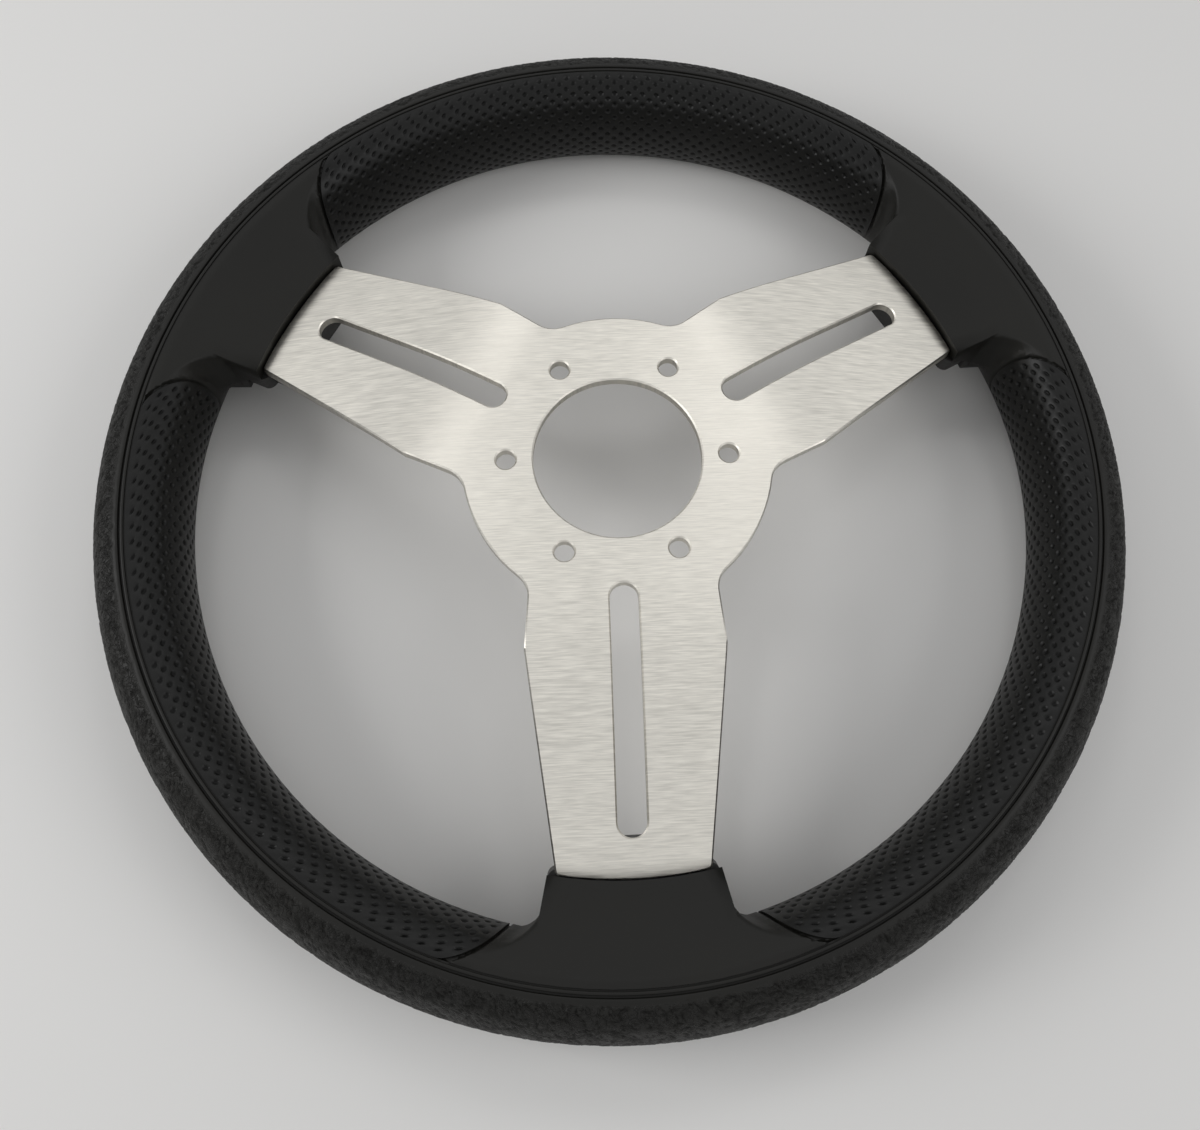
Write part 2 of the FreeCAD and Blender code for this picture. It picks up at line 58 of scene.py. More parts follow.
bl_info = {
    "name": "Boat steering wheel",
    "version": (1, 0, 0),
    "blender": (4, 5, 0),
    "location": "3D Viewport > Sidebar > Steering wheel",
    "description": "Dresses a three-spoke steering wheel and its studio",
    "category": "Object",
}

# Rim section: an oval of four arcs round RIM_RADIUS, RIM_HEIGHT
RIM_RADIUS = 161 * MM
RIM_HEIGHT = -26.5 * MM
HALF_WIDTH = 15 * MM
END_RADIUS = 12.5 * MM
END_RISE = 10.5 * MM
END_HEIGHT = RIM_HEIGHT + END_RISE
SIDE_CENTRE = 20.8 * MM
SIDE_RADIUS = SIDE_CENTRE + HALF_WIDTH
TANGENT_ANGLE = math.atan2(SIDE_CENTRE, END_RISE)
SIDE_ANGLE = math.pi / 2 - TANGENT_ANGLE
SPOKE_ANGLES = [math.radians(a) for a in (270, 30, 150)]
GRIP_ANGLES = [math.radians(a) for a in (90, 210, 330)]
HALF_GRIP = math.radians(60)

# Edges of a grip: the crest's lip, the foot of the inner side, and the groove that
# ends it, at its distance and angle from a spoke's axis
CREST_LINE = 160.1 * MM
SKIN_FOOT = RIM_HEIGHT - SIDE_RADIUS * math.sin(SIDE_ANGLE)
END_GROOVE = [(160.6, 20.6), (156.5, 18.2), (143.0, 14.4)]
GROOVE_HALF = 0.55 * MM
# Section of the crest between the grips and the outer band, as distance and depth:
# the lip groove's floor, the ridge, the band groove and the band's edge
CREST = [(160.12, 0.6), (160.62, 0.6), (160.7, 0.52), (160.7, 0.12), (160.82, 0.0),
         (161.53, 0.0), (161.65, 0.12), (161.65, 1.1), (161.75, 1.2), (162.45, 1.2),
         (162.55, 1.1), (162.55, 0.12), (162.67, 0.0)]
BAND_LINE = CREST[-1][0] * MM

# Mesh of the skins: vertices merged as one, the sharpest bend that stays smooth on the
# moulding and on the band, and the bend past which a skin's edge is kept sharp
MERGED = 0.001 * MM
SMOOTH_MOULDING = math.radians(30)
SMOOTH_BAND = math.radians(60)
SHARP_BEND = math.radians(40)
# Sectors that make the full band, and the rows of its inner wall
SECTORS = 40
INNER_ROWS = (4, 2, 2)
# Share of a dimple's radius that its sloping wall takes
DIMPLE_WALL = 0.35
# What counts as on a line or on the oval, and the room between a skin and its pocket
LINE_MARGIN = 0.05 * MM
LINE_SLACK = 0.02 * MM
OVAL_MARGIN = 0.06 * MM
SKIN_MARGIN = 0.1 * MM
FOOT_MARGIN = 0.5 * MM
POCKET_ROOM = 0.05 * MM

# Grain of the band. It starts along a ragged line and fades in over a short width. In
# wrinkles: how far the creases bend, and over what length. Then the width and the share
# of the creases, and of the finer branches between them.
RAGGED_WIDTH = 1.6 * MM
RAGGED_LENGTH = 4 * MM
FADE_WIDTH = 1.5 * MM
BEND = 1.5
BEND_LENGTH = 3.0
CREASE_WIDTH, CREASE_SHARE = 0.22, 0.75
BRANCH_WIDTH, BRANCH_SHARE = 0.3, 0.4
BRANCH_SCALE = 1.9
BRANCH_SHIFT = Vector((7, 3, 5))
# The fine grain of the shader starts and is full at these distances from the axis
GRAIN_START = 164.0 * MM
GRAIN_FULL = 165.8 * MM

# Patterns of the finishes, as repeats in a metre. The brush lines have theirs along X
# and Z, and a coarse line is four fine ones wide.
FINE_LINES = (140, 90)
COARSE_LINES = (40, 30)
COARSE_SHARE = 0.25
STEEL_CLOUD = 14
RUBBER_PORES, RUBBER_WEAR = 2400, 24
GRIP_PORES, GRIP_WEAR = 2100, 30
LUG_CAST, LUG_WEAR = 900, 60
SCREW_TURNING = 1500
# Range in which most of a noise texture's values lie
LOW, HIGH = 0.3, 0.7
# Lightest and darkest tone of the rubber, and the painted shade of its hollows: the band's
# creases and the grips' dimples
DARK, LIGHT, HOLLOW_SHADE = 0.85, 1.2, 0.6
LUG_BLACK, LUG_RUBBED = (0.018, 0.017, 0.016), (0.05, 0.047, 0.043)
SCREW_DARK, SCREW_LIGHT = (0.42, 0.41, 0.39), (0.58, 0.57, 0.54)

# The studio, in metres and degrees: each lamp's name, place, size and power setting
LAMPS = (("key_light", (-0.28, 0.72, 1.29), 0.3, "key_power"),
         ("twin_light", (0.28, 0.72, 1.29), 0.3, "key_power"),
         ("left_light", (-1.2, 0.0, 0.7), 0.6, "left_power"),
         ("right_light", (1.1, -0.3, 0.9), 0.8, "right_power"))
SKY_COLOUR = (0.97, 0.98, 1.0, 1)
FLOOR_HALF = 6.0
CAMERA_PLACE = (-0.01521, -0.14573, 0.37184)
CAMERA_TURN = (22.857, -1.985, -2.651)
CAMERA_LENS = 36.283
CAMERA_SHIFT = (-0.02606, -0.11534)


# Sizes and colours that a user would change
class PlateLook(bpy.types.PropertyGroup):
    steel: FloatVectorProperty(
        name="Steel", description="Colour of the brushed plate", subtype="COLOR",
        size=3, min=0, max=1, default=(0.63, 0.605, 0.545))
    roughness: FloatProperty(
        name="Roughness", description="Mean roughness of the brushed faces",
        min=0, max=1, default=0.36)
    brush_spacing: FloatProperty(
        name="Brush spacing", description="Distance between the fine brush lines",
        subtype="DISTANCE", default=0.45 * MM)


class RimLook(bpy.types.PropertyGroup):
    rubber: FloatVectorProperty(
        name="Rubber", description="Colour of the moulded rim", subtype="COLOR",
        size=3, min=0, max=1, default=(0.0072, 0.0069, 0.0056))
    grip: FloatVectorProperty(
        name="Grip", description="Colour of the dimpled grips", subtype="COLOR",
        size=3, min=0, max=1, default=(0.0035, 0.0035, 0.003))
    grain_size: FloatProperty(
        name="Grain size", description="Width of the band's finest grain",
        subtype="DISTANCE", default=1.7 * MM)


class GripShape(bpy.types.PropertyGroup):
    columns: IntProperty(
        name="Columns", description="Dimple columns along one grip, every other one used",
        min=10, default=86)
    rows_over: IntProperty(
        name="Rows over the crest", description="Dimple rows on the rounded top", min=2,
        default=6)
    rows_side: IntProperty(
        name="Rows on the side", description="Dimple rows down the inner side", min=2,
        default=12)
    dimple_radius: FloatProperty(
        name="Dimple radius", description="Radius of one dimple", subtype="DISTANCE",
        default=1.7 * MM)
    dimple_depth: FloatProperty(
        name="Dimple depth", description="Depth of one dimple", subtype="DISTANCE",
        default=0.62 * MM)
    thickness: FloatProperty(
        name="Skin thickness", description="Thickness of the dimpled skin",
        subtype="DISTANCE", default=1.4 * MM)


class BandShape(bpy.types.PropertyGroup):
    columns: IntProperty(
        name="Columns", description="Steps of the band's mesh round the rim", min=60,
        default=1400)
    rows_over: IntProperty(
        name="Rows on the crest", description="Rows of mesh on the rounded top", min=4,
        default=17)
    rows_side: IntProperty(
        name="Rows on the side", description="Rows of mesh on each half of the side", min=4,
        default=13)
    thickness: FloatProperty(
        name="Skin thickness", description="Thickness of the grained skin",
        subtype="DISTANCE", default=2.0 * MM)
    smooth_edge: FloatProperty(
        name="Smooth edge", description="Width left smooth beside the groove",
        subtype="DISTANCE", default=1.0 * MM)
    wrinkle_size: FloatProperty(
        name="Wrinkle size", description="Width of one wrinkle", subtype="DISTANCE",
        default=2.7 * MM)
    wrinkle_depth: FloatProperty(
        name="Wrinkle depth", description="Depth of the deepest wrinkles",
        subtype="DISTANCE", default=0.34 * MM)


class StudioLook(bpy.types.PropertyGroup):
    floor: FloatVectorProperty(
        name="Floor", description="Colour of the floor", subtype="COLOR",
        size=3, min=0, max=1, default=(0.84, 0.83, 0.81))
    key_power: FloatProperty(
        name="Key lights", description="Power of each of the two lights above",
        unit="POWER", default=0.8)
    left_power: FloatProperty(
        name="Left light", description="Power of the soft light on the left", unit="POWER",
        default=7.0)
    right_power: FloatProperty(
        name="Right light", description="Power of the soft light on the right",
        unit="POWER", default=4.0)
    sky: FloatProperty(
        name="Sky", description="Strength of the light from all round", min=0, default=0.4)
    sky_seen: FloatProperty(
        name="Backdrop", description="Strength at which the camera and metal see the backdrop",
        min=0, default=0.96)


class WheelSettings(bpy.types.PropertyGroup):
    plate: PointerProperty(type=PlateLook)
    rim: PointerProperty(type=RimLook)
    grip: PointerProperty(type=GripShape)
    band: PointerProperty(type=BandShape)
    studio: PointerProperty(type=StudioLook)


# Shader building
class Shader:
    """A procedural material on Object coordinates, with short calls for its nodes."""

    def __init__(self, name):
        self.material = bpy.data.materials.new(name)
        self.material.use_nodes = True
        self.tree = self.material.node_tree
        self.surface = self.tree.nodes["Principled BSDF"]
        self.place = self.add("ShaderNodeTexCoord").outputs["Object"]

    def add(self, kind, **settings):
        made = self.tree.nodes.new(kind)
        for key, setting in settings.items():
            setattr(made, key, setting)
        return made

    def put(self, socket, content):
        if isinstance(content, bpy.types.NodeSocket):
            self.tree.links.new(content, socket)
        else:
            socket.default_value = content

    def maths(self, operation, *inputs):
        made = self.add("ShaderNodeMath", operation=operation)
        for socket, content in zip(made.inputs, inputs):
            self.put(socket, content)
        return made.outputs[0]

    def attribute(self, name):
        return self.add("ShaderNodeAttribute", attribute_name=name).outputs["Fac"]

    def stretched(self, scale):
        made = self.add("ShaderNodeMapping")
        self.put(made.inputs["Vector"], self.place)
        made.inputs["Scale"].default_value = scale
        return made.outputs["Vector"]

    def noise(self, place, scale=1.0, detail=2.0, distortion=0.0):
        made = self.add("ShaderNodeTexNoise")
        self.put(made.inputs["Vector"], place)
        made.inputs["Scale"].default_value = scale
        made.inputs["Detail"].default_value = detail
        made.inputs["Distortion"].default_value = distortion
        return made.outputs["Fac"]

    def band(self, factor, low, high, start=0.0, stop=1.0):
        """factor, mapped from low..high to start..stop and clamped."""
        made = self.add("ShaderNodeMapRange")
        for name, content in (("Value", factor), ("From Min", low), ("From Max", high),
                              ("To Min", start), ("To Max", stop)):
            self.put(made.inputs[name], content)
        return made.outputs["Result"]

    def blend(self, factor, first, second):
        made = self.add("ShaderNodeMix", data_type="RGBA")
        self.put(made.inputs["Factor"], factor)
        self.put(made.inputs["A"], (*first, 1) if isinstance(first, tuple) else first)
        self.put(made.inputs["B"], (*second, 1) if isinstance(second, tuple) else second)
        return made.outputs["Result"]

    def bump(self, height, distance, strength, normal=None):
        made = self.add("ShaderNodeBump")
        made.inputs["Strength"].default_value = strength
        made.inputs["Distance"].default_value = distance
        self.put(made.inputs["Height"], height)
        if normal is not None:
            self.put(made.inputs["Normal"], normal)
        return made.outputs["Normal"]

    def set(self, **inputs):
        """Sets the surface's inputs, with _ for a space in their names."""
        for name, content in inputs.items():
            self.put(self.surface.inputs[name.replace("_", " ")], content)
        return self.material


def shade(colour, factor):
    return tuple(min(1.0, c * factor) for c in colour)


def brushed_steel(look):
    """Stainless sheet brushed along X, with fine and coarse lines."""
    s = Shader("brushed_stainless")
    spacing = look.brush_spacing
    fine = s.noise(s.stretched((FINE_LINES[0], 1 / spacing, FINE_LINES[1])), detail=3.0)
    coarse = s.noise(s.stretched((COARSE_LINES[0], COARSE_SHARE / spacing, COARSE_LINES[1])),
                     detail=3.0)
    cloud = s.noise(s.place, scale=STEEL_CLOUD)
    lines = s.maths("ADD", s.maths("MULTIPLY", fine, 0.8), s.maths("MULTIPLY", coarse, 0.2))
    steel = tuple(look.steel)
    colour = s.blend(s.band(lines, 0.33, 0.67), shade(steel, 0.82), shade(steel, 1.12))
    rough = s.maths("ADD",
                    s.band(fine, LOW, HIGH, look.roughness - 0.05, look.roughness + 0.07),
                    s.band(cloud, LOW, HIGH, -0.02, 0.03))
    across = s.add("ShaderNodeCombineXYZ")
    across.inputs["Y"].default_value = 1.0
    return s.set(Base_Color=colour, Metallic=1.0, Roughness=rough, Anisotropic=0.75,
                 Tangent=across.outputs["Vector"], Normal=s.bump(lines, 0.04 * MM, 0.3))


def distance_from_axis(s):
    parts = s.add("ShaderNodeSeparateXYZ")
    s.put(parts.inputs["Vector"], s.place)
    squares = [s.maths("MULTIPLY", side, side) for side in parts.outputs[:2]]
    return s.maths("SQRT", s.maths("ADD", *squares))


def moulded_rubber(look):
    """Satin rubber: smooth pads, and a leather-like grain on the outer band, with painted shade
    darkening the band's creases."""
    s = Shader("moulded_rubber")
    outside = s.band(distance_from_axis(s), GRAIN_START, GRAIN_FULL)
    worms = s.noise(s.place, scale=1 / look.grain_size, detail=1.5, distortion=1.2)
    grain = s.band(s.maths("ABSOLUTE", s.maths("SUBTRACT", worms, 0.5)), 0.0, 0.09)
    pores = s.noise(s.place, scale=RUBBER_PORES)
    worn = s.noise(s.place, scale=RUBBER_WEAR, detail=3.0)
    crease = s.attribute("crease")
    rubber = tuple(look.rubber)
    raised = s.blend(s.band(worn, 0.35, 0.65), shade(rubber, DARK), shade(rubber, LIGHT))
    # Painted shade: the crease attribute darkens the band's creases towards the hollow tone
    colour = s.blend(s.band(crease, 0.3, 1.0), raised, shade(rubber, HOLLOW_SHADE))
    rough = s.maths("ADD", s.band(worn, LOW, HIGH, 0.42, 0.5),
                    s.maths("MULTIPLY", crease, 0.2))
    normal = s.bump(s.maths("MULTIPLY", grain, outside), 0.35 * MM, 1.0,
                    s.bump(pores, 0.04 * MM, 0.4))
    hidden = s.maths("MULTIPLY", s.maths("SUBTRACT", 1.0, grain), outside)
    dull = s.maths("MAXIMUM", crease, s.maths("MULTIPLY", hidden, 0.6))
    return s.set(Base_Color=colour, Roughness=rough, Normal=normal,
                 Specular_IOR_Level=s.band(dull, 0.2, 1.0, 0.2, 0.1))


def grip_rubber(look):
    """Rubber of the grips, with painted shade and less shine in the dimples, and fine pores
    between them.
    """
    s = Shader("grip_rubber")
    pores = s.noise(s.place, scale=GRIP_PORES)
    worn = s.noise(s.place, scale=GRIP_WEAR, detail=3.0)
    dimple_shade = s.attribute("crease")
    grip = tuple(look.grip)
    raised = s.blend(s.band(worn, 0.35, 0.65), shade(grip, DARK), shade(grip, LIGHT))
    # Painted shade: the dimples' floors are darker than the raised rubber
    return s.set(Base_Color=s.blend(dimple_shade, raised, shade(grip, HOLLOW_SHADE)),
                 Roughness=s.band(worn, LOW, HIGH, 0.34, 0.42),
                 Specular_IOR_Level=s.band(dimple_shade, 0.1, 0.9, 0.2, 0.11),
                 Normal=s.bump(pores, 0.05 * MM, 0.5))


def lug_coat():
    """Black coat on the steel lugs, rubbed a little."""
    s = Shader("lug_coat")
    cast = s.noise(s.place, scale=LUG_CAST, detail=3.0)
    rubbed = s.band(s.noise(s.place, scale=LUG_WEAR, detail=4.0), 0.58, 0.72)
    return s.set(Base_Color=s.blend(rubbed, LUG_BLACK, LUG_RUBBED),
                 Roughness=s.band(cast, LOW, HIGH, 0.4, 0.58),
                 Normal=s.bump(cast, 0.06 * MM, 0.5))


def screw_steel():
    """Turned steel of the screws."""
    s = Shader("screw_steel")
    turned = s.noise(s.place, scale=SCREW_TURNING)
    return s.set(Base_Color=s.blend(turned, SCREW_DARK, SCREW_LIGHT), Metallic=1.0,
                 Roughness=s.band(turned, LOW, HIGH, 0.28, 0.42))


# Shapes
def dress(node, material):
    """Gives a carried-over CAD node its material."""
    slots = NODES[node].material_slots
    for slot in slots:
        slot.material = material
    if not slots:
        NODES[node].data.materials.append(material)


def finished(name, bm, material, smooth_angle=SMOOTH_MOULDING):
    """A piece of the rim made of a bmesh, riding on the root body."""
    mesh = bpy.data.meshes.new(name)
    bm.to_mesh(mesh)
    bm.free()
    for polygon in mesh.polygons:
        polygon.use_smooth = True
    mesh.set_sharp_from_angle(angle=smooth_angle)
    mesh.materials.append(material)
    piece = bpy.data.objects.new(name, mesh)
    bpy.context.scene.collection.objects.link(piece)
    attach(piece, "root")
    return piece


def circle_through(points):
    """Centre and radius of the circle through three points in plan."""
    a, b, c = points
    d = 2 * (a.x * (b.y - c.y) + b.x * (c.y - a.y) + c.x * (a.y - b.y))
    squares = [p.length_squared for p in points]
    x = (squares[0] * (b.y - c.y) + squares[1] * (c.y - a.y) + squares[2] * (a.y - b.y)) / d
    y = (squares[0] * (c.x - b.x) + squares[1] * (a.x - c.x) + squares[2] * (b.x - a.x)) / d
    centre = Vector((x, y))
    return centre, (a - centre).length


def polar(distance, degrees):
    return Vector((math.cos(math.radians(degrees)), math.sin(math.radians(degrees)))) * distance


def groove_angle(distance):
    """Angle from the spoke's axis of the end groove's near edge, at a distance."""
    centre, radius = circle_through([polar(far * MM, degrees) for far, degrees in END_GROOVE])
    radius -= GROOVE_HALF
    reach = centre.length
    cosine = (distance ** 2 + reach ** 2 - radius ** 2) / (2 * distance * reach)
    return math.atan2(centre.y, centre.x) - math.acos(max(-1.0, min(1.0, cosine)))


def out_of_oval(place):
    """Distance outside the rim's oval, and the outward direction there."""
    distance = math.hypot(place.x, place.y)
    x = distance - RIM_RADIUS
    z = place.z - RIM_HEIGHT
    rise = END_HEIGHT - RIM_HEIGHT
    if abs(z) > rise + END_RADIUS * math.cos(TANGENT_ANGLE):
        centre_x, centre_z, radius = 0.0, math.copysign(rise, z), END_RADIUS
    else:
        centre_x, centre_z, radius = -math.copysign(SIDE_CENTRE, x), 0.0, SIDE_RADIUS
    off = Vector((x - centre_x, z - centre_z))
    turn = off.normalized()
    outward = Vector((turn.x * place.x / distance, turn.x * place.y / distance, turn.y))
    return off.length - radius, outward


def only_verts(geometry):
    return [g for g in geometry if isinstance(g, bmesh.types.BMVert)]


def crest_point(distance, depth):
    """Place on the crest at a distance, at a depth below the oval."""
    lean = math.asin((distance - RIM_RADIUS) / END_RADIUS)
    reach = END_RADIUS - depth
    return RIM_RADIUS + reach * math.sin(lean), 0, END_HEIGHT + reach * math.cos(lean)


def oval_line(bm, line, way, rows, inset=0.0):
    """Line of vertices on the oval, from a line on its crest down the outer side (way 1)
    or the inner side (way -1), with rows on the crest and on the side's two halves.
    Returns its two ends."""
    first = last = bm.verts.new(crest_point(line, inset))
    lean = math.asin((line - RIM_RADIUS) / END_RADIUS)
    crest = (RIM_RADIUS, 0, END_HEIGHT)
    side = (RIM_RADIUS - way * SIDE_CENTRE, 0, RIM_HEIGHT)
    turns = (TANGENT_ANGLE - way * lean, SIDE_ANGLE, SIDE_ANGLE)
    for centre, turn, steps in zip((crest, side, side), turns, rows):
        arc = bmesh.ops.spin(bm, geom=[last], cent=centre, axis=(0, way, 0), angle=turn,
                             steps=steps)
        last = only_verts(arc["geom_last"])[0]
    return first, last


def every_other(bm):
    """Inner vertices of a grid, in a staggered pattern."""
    start = bm.verts[0]
    parity = {start: 0}
    wave = [start]
    while wave:
        reached = []
        for vert in wave:
            for edge in vert.link_edges:
                other = edge.other_vert(vert)
                if other not in parity:
                    parity[other] = 1 - parity[vert]
                    reached.append(other)
        wave = reached
    return [v for v in parity if parity[v] and not v.is_boundary]


def grip_skin(shape, number, turn, material):
    """Dimpled skin of one grip, from the crest's lip to the foot of the inner side."""
    bm = bmesh.new()
    half_rows = shape.rows_side // 2
    oval_line(bm, CREST_LINE, -1, (shape.rows_over, half_rows, shape.rows_side - half_rows))
    bmesh.ops.rotate(bm, verts=bm.verts, cent=(0, 0, 0),
                     matrix=Matrix.Rotation(-HALF_GRIP, 3, "Z"))
    bmesh.ops.spin(bm, geom=bm.verts[:] + bm.edges[:], cent=(0, 0, 0), axis=(0, 0, 1),
                   angle=2 * HALF_GRIP, steps=shape.columns, use_duplicate=False)
    for vert in bm.verts:
        distance = math.hypot(vert.co.x, vert.co.y)
        angle = math.atan2(vert.co.y, vert.co.x)
        end = HALF_GRIP - groove_angle(distance)
        moved = turn + angle / HALF_GRIP * end
        vert.co = Vector((distance * math.cos(moved), distance * math.sin(moved), vert.co.z))
    bm.verts.ensure_lookup_table()
    dots = every_other(bm)
    inner = bmesh.ops.extrude_face_region(bm, geom=bm.faces[:] + bm.edges[:] + bm.verts[:],
                                          use_keep_orig=True)
    for vert in only_verts(inner["geom"]):
        vert.co -= out_of_oval(vert.co)[1] * shape.thickness
    kept_sharp = bm.edges.layers.float.new("crease_edge")
    for edge in bm.edges:
        if edge.calc_face_angle(0.0) > SHARP_BEND:
            edge[kept_sharp] = 1.0
    bmesh.ops.recalc_face_normals(bm, faces=bm.faces)
    cut = bmesh.ops.bevel(bm, geom=dots, offset=shape.dimple_radius, offset_type="OFFSET",
                          affect="VERTICES", segments=1, profile=0.5, material=-1)
    bmesh.ops.inset_individual(bm, faces=cut["faces"], use_even_offset=True,
                               thickness=shape.dimple_radius * DIMPLE_WALL,
                               depth=-shape.dimple_depth)
    # Marks the dimples' floors, which the grip material darkens as painted shade
    dimple_shade = bm.verts.layers.float.new("crease")
    for face in cut["faces"]:
        for vert in face.verts:
            vert[dimple_shade] = 1.0
    skin = finished(f"grip_skin_{number}", bm, material)
    rounded = skin.modifiers.new("rounded", "SUBSURF")
    rounded.levels = rounded.render_levels = 1
    return skin


def wrinkle(place, shape):
    """Depth of the band's grain at a place, from 0 to 1."""
    size = shape.wrinkle_size
    bent = place / size + noise.noise_vector(place / (BEND_LENGTH * size)) * BEND
    crease = max(0.0, 1.0 - abs(noise.noise(bent)) / CREASE_WIDTH)
    branch = max(0.0, 1.0 - abs(noise.noise(bent * BRANCH_SCALE + BRANCH_SHIFT)) / BRANCH_WIDTH)
    return min(1.0, CREASE_SHARE * crease + BRANCH_SHARE * branch)


def band_skin(shape, material):
    """Grained skin of the outer band, with the two grooves of the crest, down to the foot
    of the outer side."""
    bm = bmesh.new()
    outer_rows = (shape.rows_over, shape.rows_side, shape.rows_side)
    corner, foot = oval_line(bm, BAND_LINE, 1, outer_rows)
    under, heel = oval_line(bm, CREST_LINE, 1, INNER_ROWS, shape.thickness)
    line = [under]
    for distance, depth in CREST[:-1]:
        line.append(bm.verts.new(crest_point(distance * MM, depth * MM)))
    for ends in zip(line, line[1:] + [corner]):
        bm.edges.new(ends)
    bm.edges.new((foot, heel))
    # One sector is spun, and then copied round, which is far quicker than a full spin
    sector = 2 * math.pi / SECTORS
    bmesh.ops.spin(bm, geom=bm.verts[:] + bm.edges[:], cent=(0, 0, 0), axis=(0, 0, 1),
                   angle=sector, steps=round(shape.columns / SECTORS))
    bmesh.ops.spin(bm, geom=bm.verts[:] + bm.edges[:] + bm.faces[:], cent=(0, 0, 0),
                   axis=(0, 0, 1), angle=2 * math.pi - sector, steps=SECTORS - 1,
                   use_duplicate=True)
    bmesh.ops.remove_doubles(bm, verts=bm.verts, dist=MERGED)
    # The crease layer sets each wrinkle's depth and also carries the painted shade that the
    # rubber puts into the creases
    crease = bm.verts.layers.float.new("crease")
    for vert in bm.verts:
        off, outward = out_of_oval(vert.co)
        edge = vert.co.xy.length - BAND_LINE - shape.smooth_edge
        if off > -SKIN_MARGIN and vert.co.z > SKIN_FOOT + FOOT_MARGIN:
            ragged = RAGGED_WIDTH * noise.noise(vert.co / RAGGED_LENGTH)
            fade = min(1.0, max(0.0, (edge - ragged) / FADE_WIDTH))
            vert[crease] = fade * wrinkle(vert.co, shape)
            vert.co -= outward * shape.wrinkle_depth * vert[crease]
    bmesh.ops.recalc_face_normals(bm, faces=bm.faces)
    return finished("band_skin", bm, material, SMOOTH_BAND)


def is_skinned(face):
    """True for a face of the moulding that lies under a grip's or the band's skin."""
    centre = face.calc_center_median()
    distance = math.hypot(centre.x, centre.y)
    if centre.z < SKIN_FOOT or distance > CREST_LINE + LINE_MARGIN:
        return centre.z > SKIN_FOOT
    if max(abs(out_of_oval(vert.co)[0]) for vert in face.verts) > OVAL_MARGIN:
        return False
    angle = math.atan2(centre.y, centre.x)
    off = min(abs((angle - spoke + math.pi) % (2 * math.pi) - math.pi) for spoke in SPOKE_ANGLES)
    return off > groove_angle(distance)


def rim_shell(grip, band, material):
    """The moulding with a shallow pocket under each skin."""
    bm = bmesh.new()
    bm.from_mesh(NODES["rim_moulding"].data)
    bmesh.ops.remove_doubles(bm, verts=bm.verts, dist=MERGED)
    pockets = [face for face in bm.faces if is_skinned(face)]
    around = {edge for face in pockets for edge in face.edges}
    floor = bmesh.ops.extrude_face_region(bm, geom=pockets + list(around))
    for vert in only_verts(floor["geom"]):
        off, outward = out_of_oval(vert.co)
        skin = band if vert.co.xy.length > CREST_LINE - LINE_SLACK else grip
        vert.co -= outward * (off + skin.thickness + POCKET_ROOM)
    shell = finished("rim_shell", bm, material)
    evened = shell.modifiers.new("evened", "WEIGHTED_NORMAL")
    evened.keep_sharp = True
    return shell


# Operators: one for each piece or group of like pieces, and one for the stage
class WHEEL_OT_rim(bpy.types.Operator):
    """Builds the moulded rim with its pads, its outer band and room for the grips' skins"""
    bl_idname = "steering_wheel.rim"
    bl_label = "Moulded rim"

    def execute(self, context):
        settings = context.scene.steering_wheel
        rubber = moulded_rubber(settings.rim)
        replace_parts(rim_shell(settings.grip, settings.band, rubber), "rim_moulding")
        band_skin(settings.band, rubber)
        return {"FINISHED"}


class WHEEL_OT_grips(bpy.types.Operator):
    """Builds the dimpled skins of the three grips"""
    bl_idname = "steering_wheel.grips"
    bl_label = "Dimpled grips"

    def execute(self, context):
        settings = context.scene.steering_wheel
        material = grip_rubber(settings.rim)
        for number, turn in enumerate(GRIP_ANGLES, start=1):
            grip_skin(settings.grip, number, turn, material)
        return {"FINISHED"}


class WHEEL_OT_plate(bpy.types.Operator):
    """Gives the plate its brushed stainless finish"""
    bl_idname = "steering_wheel.plate"
    bl_label = "Brushed plate"

    def execute(self, context):
        dress("spoke_plate", brushed_steel(context.scene.steering_wheel.plate))
        return {"FINISHED"}


class WHEEL_OT_fastenings(bpy.types.Operator):
    """Gives the lugs their black coat and the screws their turned finish"""
    bl_idname = "steering_wheel.fastenings"
    bl_label = "Lugs and screws"

    def execute(self, context):
        coat = lug_coat()
        for side in ("front", "right", "left"):
            dress(f"spoke_lug_{side}", coat)
        dress("plate_screws", screw_steel())
        return {"FINISHED"}


class WHEEL_OT_stage(bpy.types.Operator):
    """Sets the floor, the soft lights and the camera"""
    bl_idname = "steering_wheel.stage"
    bl_label = "Studio"

    def execute(self, context):
        look = context.scene.steering_wheel.studio
        studio_floor(look)
        studio_lights(look)
        studio_camera()
        return {"FINISHED"}


def studio_floor(look):
    """Pale floor under the wheel."""
    bm = bmesh.new()
    bmesh.ops.create_grid(bm, x_segments=1, y_segments=1, size=FLOOR_HALF)
    bmesh.ops.translate(bm, verts=bm.verts, vec=(0, 0, CAD_BOX[0].z))
    mesh = bpy.data.meshes.new("floor")
    bm.to_mesh(mesh)
    bm.free()
    floor = bpy.data.objects.new("floor", mesh)
    bpy.context.scene.collection.objects.link(floor)
    s = Shader("pale_floor")
    cloud = s.noise(s.place, scale=3.0)
    pale = tuple(look.floor)
    s.set(Base_Color=s.blend(cloud, shade(pale, 0.99), shade(pale, 1.01)), Roughness=0.75)
    mesh.materials.append(s.material)


def soft_light(name, place, size, power):
    """Square lamp that looks at the middle of the wheel."""
    lamp = bpy.data.lights.new(name, "AREA")
    lamp.size = size
    lamp.energy = power
    light = bpy.data.objects.new(name, lamp)
    light.location = place
    light.rotation_euler = (-Vector(place)).to_track_quat("-Z", "Y").to_euler()
    bpy.context.scene.collection.objects.link(light)


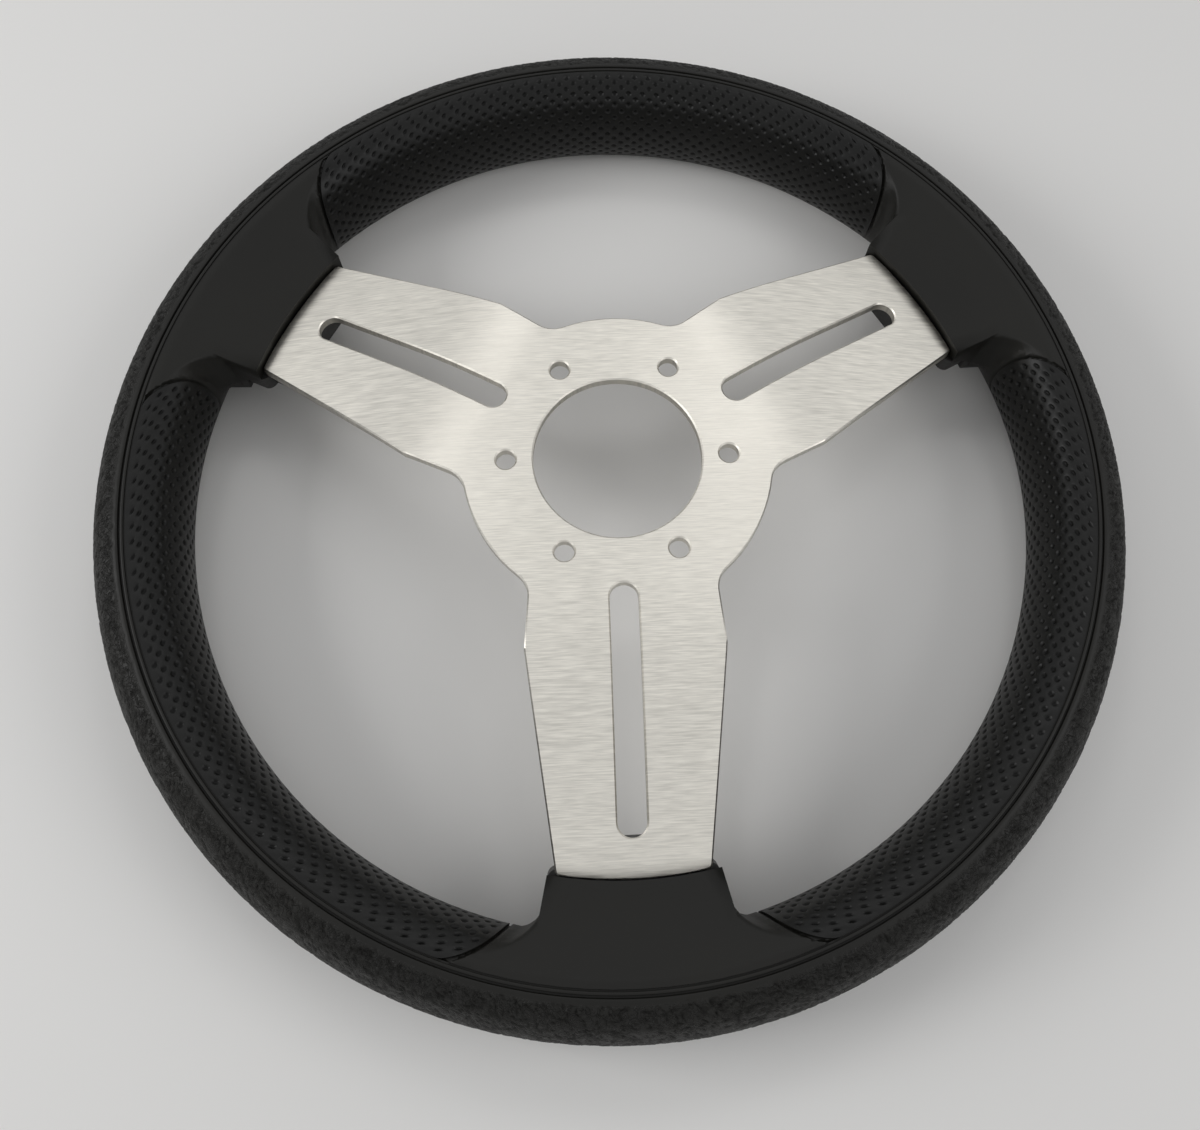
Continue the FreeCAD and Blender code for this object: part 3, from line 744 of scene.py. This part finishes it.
def studio_lights(look):
    """Soft lamps, and a world that is brighter where it is seen than where it lights."""
    for name, place, size, power in LAMPS:
        soft_light(name, place, size, getattr(look, power))
    world = bpy.data.worlds.new("studio")
    world.use_nodes = True
    nodes, links = world.node_tree.nodes, world.node_tree.links
    background = nodes["Background"]
    background.inputs["Color"].default_value = SKY_COLOUR
    rays = nodes.new("ShaderNodeLightPath")
    seen = rays.outputs["Is Glossy Ray"]
    for kind in ("Is Camera Ray", "Is Transmission Ray"):
        either = nodes.new("ShaderNodeMath")
        either.operation = "MAXIMUM"
        links.new(seen, either.inputs[0])
        links.new(rays.outputs[kind], either.inputs[1])
        seen = either.outputs[0]
    level = nodes.new("ShaderNodeMapRange")
    links.new(seen, level.inputs["Value"])
    level.inputs["To Min"].default_value = look.sky
    level.inputs["To Max"].default_value = look.sky_seen
    links.new(level.outputs["Result"], background.inputs["Strength"])
    bpy.context.scene.world = world


def studio_camera():
    """Camera at the photograph's place and angle."""
    data = bpy.data.cameras.new("camera")
    data.sensor_width = 36.0
    data.lens = CAMERA_LENS
    data.shift_x, data.shift_y = CAMERA_SHIFT
    data.clip_start = 0.01
    camera = bpy.data.objects.new("camera", data)
    camera.location = CAMERA_PLACE
    camera.rotation_euler = [math.radians(a) for a in CAMERA_TURN]
    bpy.context.scene.collection.objects.link(camera)
    bpy.context.scene.camera = camera
    bpy.context.scene.view_settings.view_transform = "Standard"


class WHEEL_PT_panel(bpy.types.Panel):
    """Lists the sizes, the colours and the pieces in the order they are made"""
    bl_idname = "WHEEL_PT_panel"
    bl_label = "Steering wheel"
    bl_space_type = "VIEW_3D"
    bl_region_type = "UI"
    bl_category = "Steering wheel"

    def draw(self, context):
        settings = context.scene.steering_wheel
        for group in (settings.plate, settings.rim, settings.grip, settings.band,
                      settings.studio):
            column = self.layout.column()
            for name in group.bl_rna.properties.keys():
                if name not in ("rna_type", "name"):
                    column.prop(group, name)
        for piece in PIECES:
            self.layout.operator(piece.bl_idname)


GROUPS = (PlateLook, RimLook, GripShape, BandShape, StudioLook, WheelSettings)
PIECES = (WHEEL_OT_rim, WHEEL_OT_grips, WHEEL_OT_plate, WHEEL_OT_fastenings, WHEEL_OT_stage)
CLASSES = GROUPS + PIECES + (WHEEL_PT_panel,)


def register():
    for cls in CLASSES:
        bpy.utils.register_class(cls)
    bpy.types.Scene.steering_wheel = PointerProperty(type=WheelSettings)


def unregister():
    del bpy.types.Scene.steering_wheel
    for cls in reversed(CLASSES):
        bpy.utils.unregister_class(cls)


def main():
    register()
    bpy.ops.steering_wheel.rim()
    bpy.ops.steering_wheel.grips()
    bpy.ops.steering_wheel.plate()
    bpy.ops.steering_wheel.fastenings()
    bpy.ops.steering_wheel.stage()


if __name__ == "__main__":
    main()
